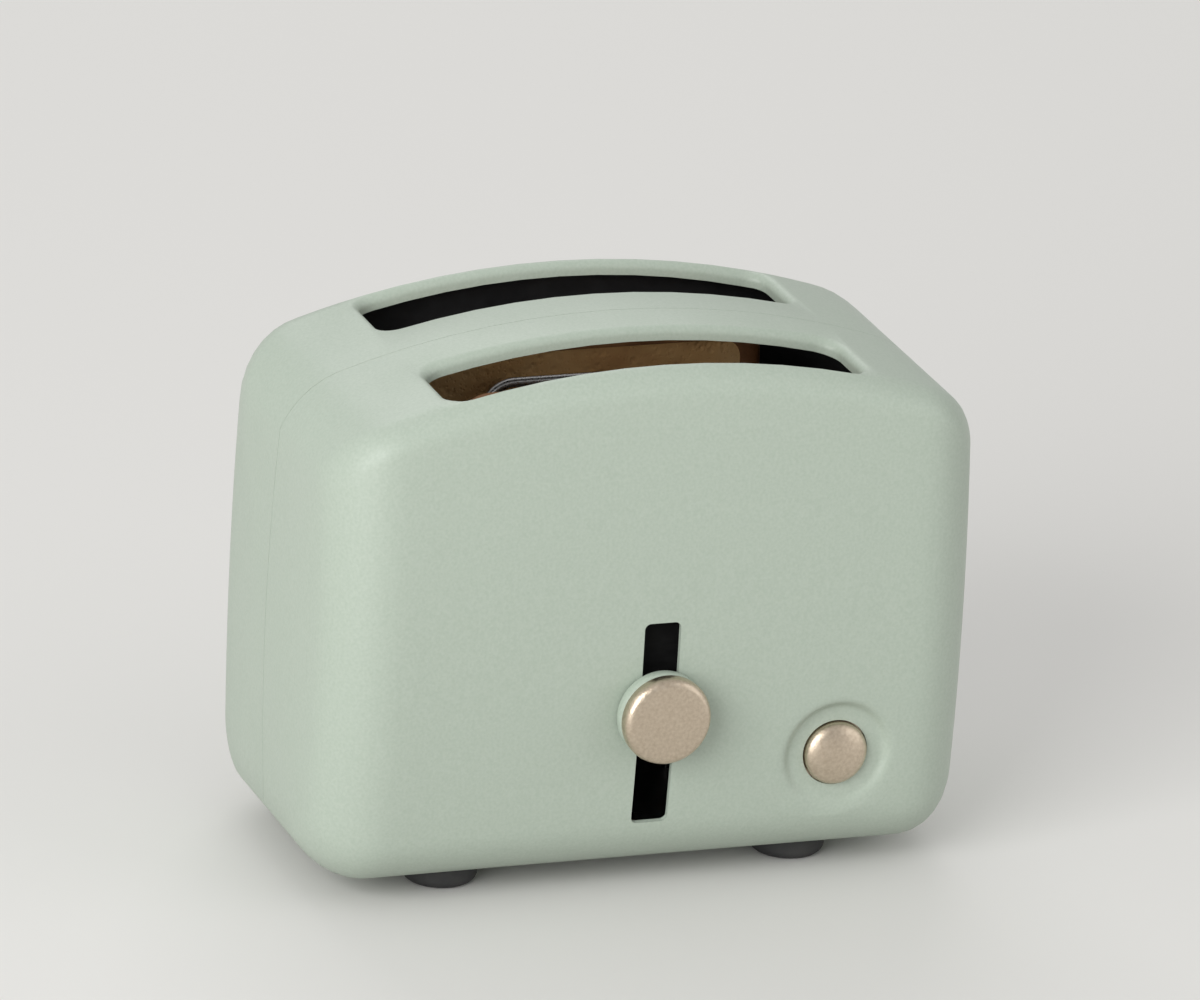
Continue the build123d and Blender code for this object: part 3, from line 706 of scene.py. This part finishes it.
def make_toast(name, node, body):
    """A slice with a domed top, a rounded crust and a sunk, uneven crumb on both faces."""
    low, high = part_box(node)
    middle, size = (low + high) / 2, high - low
    bpy.ops.mesh.primitive_cube_add(size=1, location=middle)
    toast = bpy.context.object
    toast.scale = size
    settle(toast)
    edit(toast)
    pick("EDGE", lambda at, e: lies_across(at, e) and at.z > middle.z)
    bpy.ops.mesh.bevel(offset=CROWN_RADIUS, segments=CROWN_STEPS)
    pick("EDGE", lambda at, e: lies_across(at, e) and at.z < low.z + NEAR)
    bpy.ops.mesh.bevel(offset=HEEL_RADIUS, segments=HEEL_STEPS)
    for share in WAIST_ROWS:
        bpy.ops.mesh.select_all(action="SELECT")
        bpy.ops.mesh.bisect(plane_co=(0, 0, low.z + share * size.z), plane_no=(0, 0, 1))
    leave()
    for vertex in toast.data.vertices:
        above = (vertex.co.z - low.z) / size.z - WAIST_TOP + WAIST_RISE
        share = min(max(above, 0) / WAIST_RISE, 1)
        vertex.co.x *= WAIST + (1 - WAIST) * share * share * (3 - 2 * share)
    edit(toast)
    pick("FACE", lambda at, f: abs(f.normal.y) > ALONG)
    bpy.ops.mesh.dissolve_faces()
    pick("FACE", broad)
    bpy.ops.mesh.region_to_loop()
    bpy.ops.mesh.bevel(offset=CRUST_ROUNDING, segments=CRUST_STEPS)
    pick("FACE", broad)
    bpy.ops.mesh.inset(thickness=CRUST_WIDTH)
    bpy.ops.mesh.inset(thickness=CRUMB_BEVEL, depth=-CRUMB_SUNK)
    leave()
    toast.data.materials.append(bpy.data.materials["baked_crust"])
    toast.data.materials.append(bpy.data.materials["toasted_crumb"])
    edit(toast)
    pick("FACE", broad)
    toast.active_material_index = 1
    bpy.ops.object.material_slot_assign()
    for axis in (0, 2):
        across = Vector([float(index == axis) for index in range(3)])
        for step in range(1, int(size[axis] / CRUMB_STEP)):
            pick("FACE", lambda at, f: f.material_index == 1)
            bpy.ops.mesh.bisect(plane_co=low + across * step * CRUMB_STEP, plane_no=across)
    leave()
    crust = {v for f in toast.data.polygons if f.material_index == 0 for v in f.vertices}
    for vertex in toast.data.vertices:
        if vertex.index not in crust:
            place = vertex.co
            hollow = noise.noise(place * COARSE_CRUMB) + FINE_SHARE * noise.noise(place * FINE_CRUMB)
            place.y += (1 if place.y < middle.y else -1) * hollow * CRUMB_ROUGHNESS / 2
    toast.name = name
    deselect()
    toast.select_set(True)
    bpy.ops.object.shade_smooth_by_angle(angle=TOAST_SMOOTH)
    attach(toast, body)
    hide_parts(node)


# ---- finishes ----
def start_finish(name, metallic=0.0):
    """Starts a material and gives its nodes, its shader and the place on the piece."""
    material = bpy.data.materials.new(name)
    material.use_nodes = True
    tree = material.node_tree
    shader = tree.nodes["Principled BSDF"]
    shader.inputs["Metallic"].default_value = metallic
    place = tree.nodes.new("ShaderNodeTexCoord").outputs["Object"]
    return tree, shader, place


def grain(tree, place, size, detail=3.0, stretch=(1, 1, 1)):
    """An uneven pattern whose spots are about that size, longer along an axis where it is stretched."""
    turned = tree.nodes.new("ShaderNodeMapping")
    turned.inputs["Scale"].default_value = [1 / length for length in stretch]
    tree.links.new(place, turned.inputs["Vector"])
    pattern = tree.nodes.new("ShaderNodeTexNoise")
    pattern.inputs["Scale"].default_value = 0.5 / size
    pattern.inputs["Detail"].default_value = detail
    tree.links.new(turned.outputs["Vector"], pattern.inputs["Vector"])
    return pattern.outputs["Fac"]


def pits(tree, place, size, reach):
    """Round pits about that far apart: 0 in the middle of each, 1 beyond its reach."""
    cells = tree.nodes.new("ShaderNodeTexVoronoi")
    cells.inputs["Scale"].default_value = 1 / size
    tree.links.new(place, cells.inputs["Vector"])
    return spread(tree, cells.outputs["Distance"], 0.0, reach, 0.0, 1.0)


def spread(tree, value, low, high, new_low, new_high):
    """Maps a value from one range to another."""
    ranged = tree.nodes.new("ShaderNodeMapRange")
    ends = {"From Min": low, "From Max": high, "To Min": new_low, "To Max": new_high}
    for name, number in ends.items():
        ranged.inputs[name].default_value = number
    tree.links.new(value, ranged.inputs["Value"])
    return ranged.outputs["Result"]


def tint(tree, shader, value, *stops):
    """Colours the surface by a value, from (place on the scale, colour) stops."""
    ramp = tree.nodes.new("ShaderNodeValToRGB")
    points = ramp.color_ramp.elements
    while len(points) < len(stops):
        points.new(0.5)
    for point, (at, colour) in zip(points, stops):
        point.position = at
        point.color = (*colour, 1)
    tree.links.new(value, ramp.inputs["Fac"])
    tree.links.new(ramp.outputs["Color"], shader.inputs["Base Color"])


def gloss(tree, shader, value, smooth, rough):
    """Lets a value between 0.3 and 0.7 turn the surface from smooth to rough."""
    tree.links.new(spread(tree, value, 0.3, 0.7, smooth, rough), shader.inputs["Roughness"])


def relief(tree, shader, value, height, under=None):
    """Raises the surface by a value times that height, on top of another relief."""
    bump = tree.nodes.new("ShaderNodeBump")
    bump.inputs["Distance"].default_value = height
    tree.links.new(value, bump.inputs["Height"])
    if under:
        tree.links.new(under, bump.inputs["Normal"])
    tree.links.new(bump.outputs["Normal"], shader.inputs["Normal"])
    return bump.outputs["Normal"]


def mint_paint_coat():
    """Sprayed satin paint on pressed tin: fine speckle, orange peel and a fine grain."""
    tree, shader, place = start_finish("mint_paint_coat")
    speckle = grain(tree, place, 0.14 * MM, 4)
    tint(tree, shader, speckle, (0.30, (0.425, 0.497, 0.416)), (0.70, (0.475, 0.543, 0.464)))
    gloss(tree, shader, grain(tree, place, 5 * MM, 5), 0.37, 0.48)
    peel = relief(tree, shader, grain(tree, place, 1.1 * MM, 2), 0.018 * MM)
    relief(tree, shader, grain(tree, place, 0.18 * MM, 3), 0.014 * MM, peel)


def painted_shade_inside():
    """Painted shade on the inside of the housing: near black, a little lighter in random patches."""
    tree, shader, place = start_finish("painted_shade_inside")
    depth = grain(tree, place, 2.5 * MM)
    # near-black colour that stands in for the shade inside the closed housing
    tint(tree, shader, depth, (0.3, (0.008, 0.008, 0.009)), (0.8, (0.020, 0.020, 0.021)))
    gloss(tree, shader, grain(tree, place, 0.5 * MM), 0.45, 0.65)
    relief(tree, shader, grain(tree, place, 0.4 * MM), 0.015 * MM)


def blasted_brass():
    """Brass with a finely blasted, lacquered surface."""
    tree, shader, place = start_finish("blasted_brass", metallic=1.0)
    tarnish = grain(tree, place, 0.16 * MM, 6)
    tint(tree, shader, tarnish, (0.30, (0.545, 0.448, 0.342)), (0.70, (0.665, 0.565, 0.448)))
    gloss(tree, shader, grain(tree, place, 0.25 * MM, 4), 0.30, 0.46)
    relief(tree, shader, grain(tree, place, 0.12 * MM, 3), 0.022 * MM)


def rolled_tin():
    """Bare tin plate: soft marks of the rolls along X and spangle."""
    tree, shader, place = start_finish("rolled_tin", metallic=1.0)
    streaks = grain(tree, place, 0.15 * MM, 4, (14, 1, 1))
    spangle = grain(tree, place, 2.2 * MM, 2)
    tint(tree, shader, spangle, (0.35, (0.50, 0.50, 0.49)), (0.65, (0.60, 0.60, 0.585)))
    gloss(tree, shader, streaks, 0.26, 0.44)
    relief(tree, shader, streaks, 0.004 * MM)


def drawn_wire():
    """Drawn spring steel, with fine die marks along its length and a bluish cast."""
    tree, shader, place = start_finish("drawn_wire", metallic=1.0)
    marks = grain(tree, place, 0.08 * MM, 3, (1, 1, 16))
    tint(tree, shader, marks, (0.3, (0.44, 0.44, 0.45)), (0.7, (0.55, 0.55, 0.56)))
    gloss(tree, shader, marks, 0.24, 0.36)
    relief(tree, shader, marks, 0.0012 * MM)


def turned_brass():
    """Turned brass of the bushes, with the tool's rings round it."""
    tree, shader, place = start_finish("turned_brass", metallic=1.0)
    rings = grain(tree, place, 0.07 * MM, 2, (30, 30, 1))
    tint(tree, shader, rings, (0.3, (0.58, 0.44, 0.22)), (0.7, (0.66, 0.52, 0.28)))
    gloss(tree, shader, rings, 0.20, 0.36)
    relief(tree, shader, rings, 0.004 * MM)


def fibre_darkened_as_shade():
    """Black vulcanised fibre board, matt, with short pressed-in fibres; coloured darker than the board's
    own black, as painted shade.
    """
    tree, shader, place = start_finish("fibre_darkened_as_shade")
    fibres = grain(tree, place, 0.12 * MM, 4, (6, 1, 2))
    # colour darker than black fibre's own, as painted shade
    tint(tree, shader, fibres, (0.35, (0.004, 0.004, 0.004)), (0.75, (0.012, 0.012, 0.012)))
    shader.inputs["Specular IOR Level"].default_value = 0.2
    gloss(tree, shader, fibres, 0.75, 0.95)
    relief(tree, shader, fibres, 0.012 * MM)


def moulded_rubber():
    """Moulded black rubber, a little dusty, with a pebbled skin."""
    tree, shader, place = start_finish("moulded_rubber")
    dust = grain(tree, place, 1.5 * MM, 4)
    tint(tree, shader, dust, (0.4, (0.030, 0.030, 0.031)), (0.8, (0.060, 0.059, 0.057)))
    gloss(tree, shader, dust, 0.62, 0.82)
    relief(tree, shader, grain(tree, place, 0.18 * MM, 2), 0.02 * MM)


def zinc_plate():
    """Bright zinc plating with its faint blue and yellow passivation."""
    tree, shader, place = start_finish("zinc_plate", metallic=1.0)
    cast = grain(tree, place, 1.2 * MM, 2)
    blue, grey, yellow = (0.52, 0.54, 0.58), (0.58, 0.58, 0.57), (0.62, 0.60, 0.52)
    tint(tree, shader, cast, (0.30, blue), (0.55, grey), (0.75, yellow))
    gloss(tree, shader, grain(tree, place, 0.2 * MM), 0.24, 0.40)
    relief(tree, shader, grain(tree, place, 0.15 * MM), 0.005 * MM)


def baked_crust():
    """Painted crust: patchy brown, with a dry, blistered and finely pitted skin."""
    tree, shader, place = start_finish("baked_crust")
    bake = grain(tree, place, 2.4 * MM, 5)
    dark, brown, pale = (0.16, 0.065, 0.022), (0.30, 0.135, 0.048), (0.42, 0.21, 0.08)
    tint(tree, shader, bake, (0.32, dark), (0.55, brown), (0.75, pale))
    gloss(tree, shader, bake, 0.52, 0.72)
    blisters = relief(tree, shader, grain(tree, place, 1.0 * MM, 3), 0.10 * MM)
    relief(tree, shader, pits(tree, place, 0.45 * MM, 0.35), 0.03 * MM, blisters)


def toasted_crumb():
    """Painted crumb: golden, browner in patches where it was toasted, and full of pores."""
    tree, shader, place = start_finish("toasted_crumb")
    toasting = grain(tree, place, 4.5 * MM, 6)
    pale, golden, brown = (0.72, 0.47, 0.22), (0.66, 0.39, 0.16), (0.44, 0.21, 0.075)
    tint(tree, shader, toasting, (0.30, pale), (0.52, golden), (0.72, brown))
    gloss(tree, shader, toasting, 0.70, 0.85)
    pores = relief(tree, shader, pits(tree, place, 0.9 * MM, 0.45), 0.10 * MM)
    relief(tree, shader, pits(tree, place, 0.38 * MM, 0.40), 0.05 * MM, pores)


FINISHES = {  # the finish of the pieces in each material slot
    "mint_paint": mint_paint_coat,
    "satin_brass": blasted_brass,
    "bare_tin": rolled_tin,
    "spring_steel": drawn_wire,
    "bush_brass": turned_brass,
    "black_fibre": fibre_darkened_as_shade,
    "foot_rubber": moulded_rubber,
    "screw_steel": zinc_plate,
    "toast_wood": baked_crust,
}


def finish_pieces():
    """Makes every finish and gives each of the frame's pieces the one of its slot."""
    for make in (*FINISHES.values(), painted_shade_inside, toasted_crumb):
        make()
    for part in frame["record"]["subparts"]:
        finish = bpy.data.materials[FINISHES[part["material_slot"]].__name__]
        for slot in nodes[part["node"]].material_slots:
            slot.material = finish


# ---- the making ----
deselect()
make_camera()
make_light()
make_floor()
finish_pieces()
make_housing()
make_collar()
make_knob()
make_button()
make_button_spring()
make_toast("front_slice_of_toast", "front_toast", "front_slice")
make_toast("rear_slice_of_toast", "rear_toast", "rear_slice")
